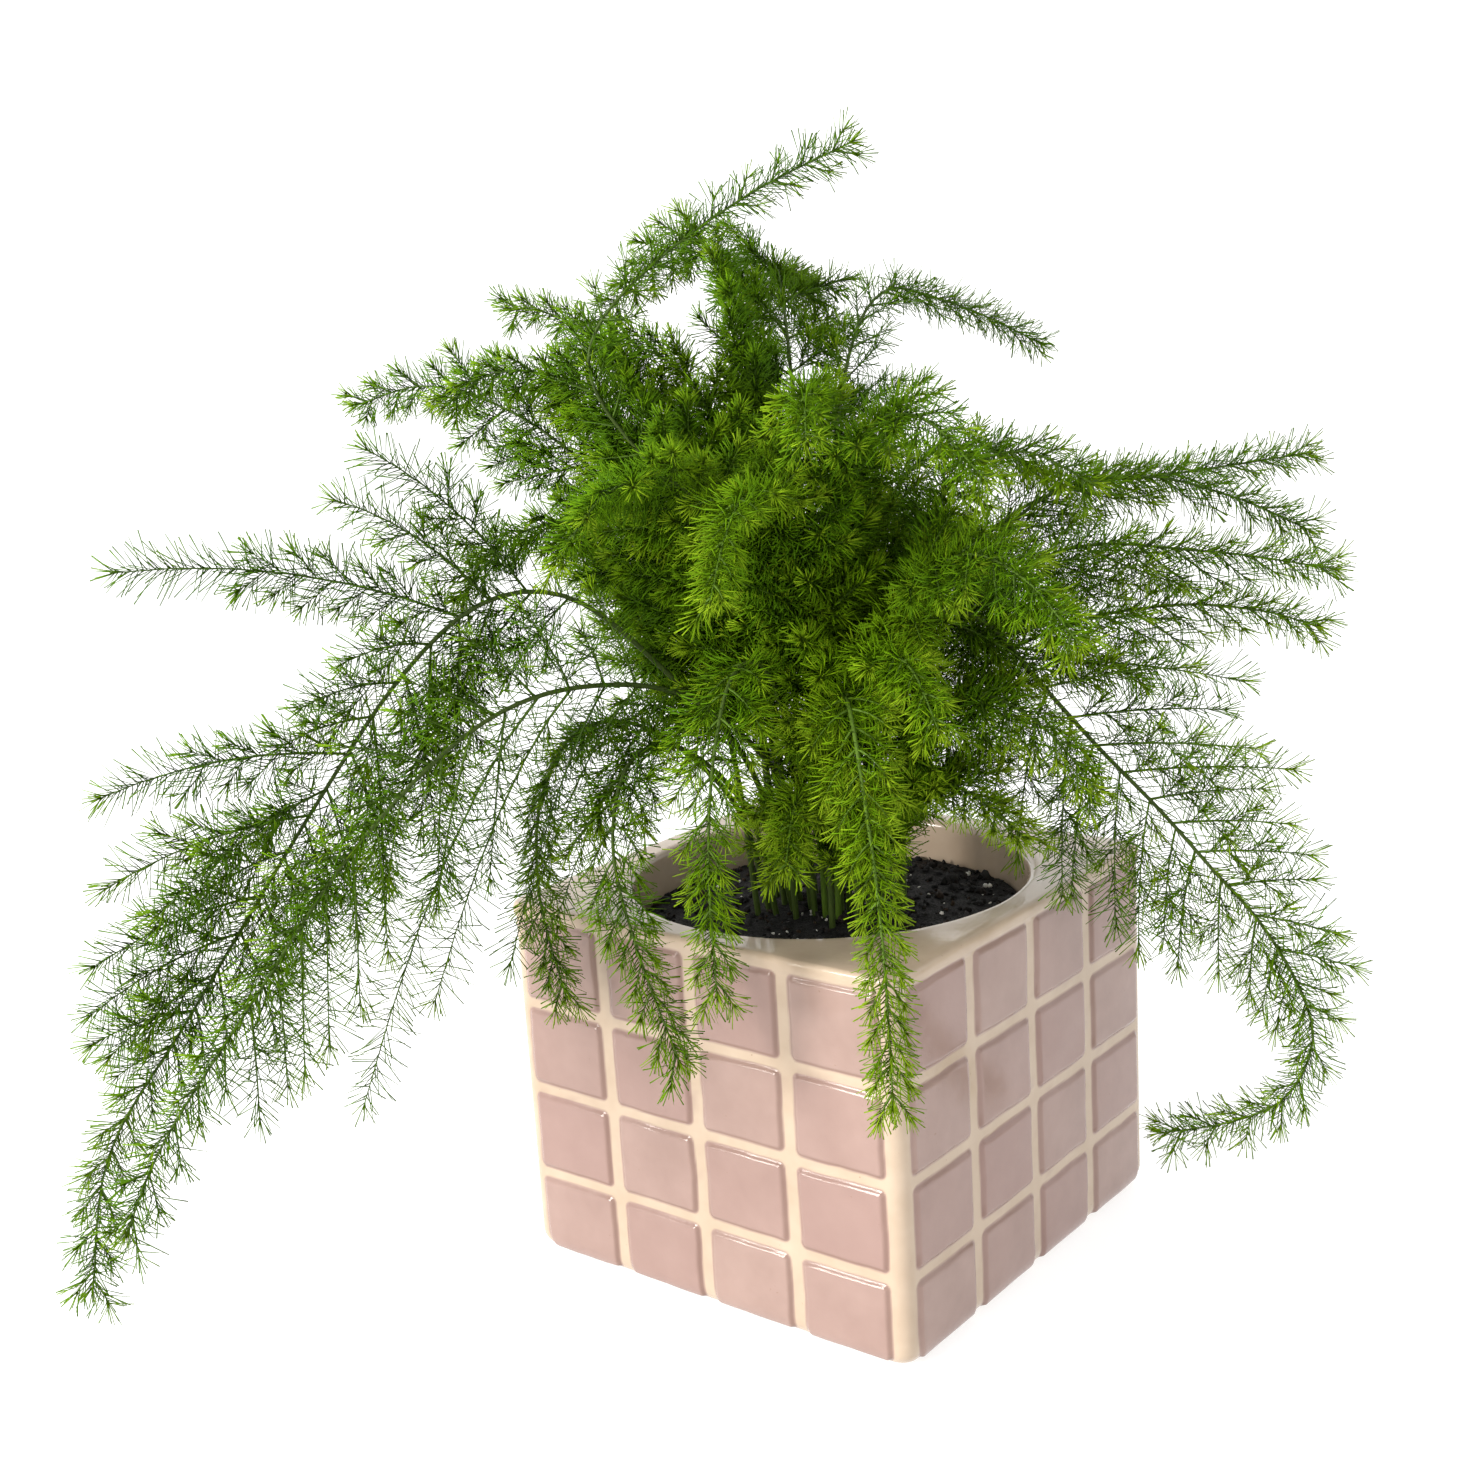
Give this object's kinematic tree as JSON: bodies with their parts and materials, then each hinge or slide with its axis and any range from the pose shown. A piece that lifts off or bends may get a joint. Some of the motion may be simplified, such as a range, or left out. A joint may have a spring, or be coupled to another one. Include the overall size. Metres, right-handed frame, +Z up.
{
  "type": "potted_plant",
  "caption": "Potted lace fern (asparagus fern) with arching needle-fine fronds in a square pink and cream tiled ceramic pot filled with potting mix",
  "frame": {"origin": "centre of the pot's flat underside, where the mount base lies", "axes": "+Z up through the middle of the pot's round opening; +X, -X, +Y and -Y are square to the pot's four tiled sides"},
  "size_m": [0.1889, 0.2431, 0.2131],
  "materials": {
    "pot": "gloss",
    "soil": "matte",
    "foliage": "satin"
  },
  "bodies": {
    "root": {"pot": "pot", "soil": "soil", "frond_left_long": "foliage", "frond_left_low": "foliage", "frond_left_high": "foliage", "frond_left_back": "foliage", "frond_top": "foliage", "frond_back_right": "foliage", "frond_back_left": "foliage", "frond_back": "foliage", "frond_right_high": "foliage", "frond_right_back": "foliage", "frond_right_mid": "foliage", "frond_right_long": "foliage", "frond_front_drop": "foliage", "frond_front_left_drop": "foliage", "frond_front_left_hang": "foliage", "frond_left_hang": "foliage", "frond_right_short": "foliage", "frond_front_short": "foliage", "frond_crown_front": "foliage", "frond_crown_right": "foliage", "frond_crown_left": "foliage", "frond_crown_top": "foliage", "frond_back_crown": "foliage", "frond_left_crown": "foliage", "frond_right_crown": "foliage", "frond_right_shoulder": "foliage", "frond_right_low": "foliage", "frond_front": "foliage", "frond_front_high": "foliage", "frond_right_front": "foliage", "frond_left_front": "foliage", "frond_rear_left": "foliage", "frond_rear": "foliage"}
  },
  "joints": []
}
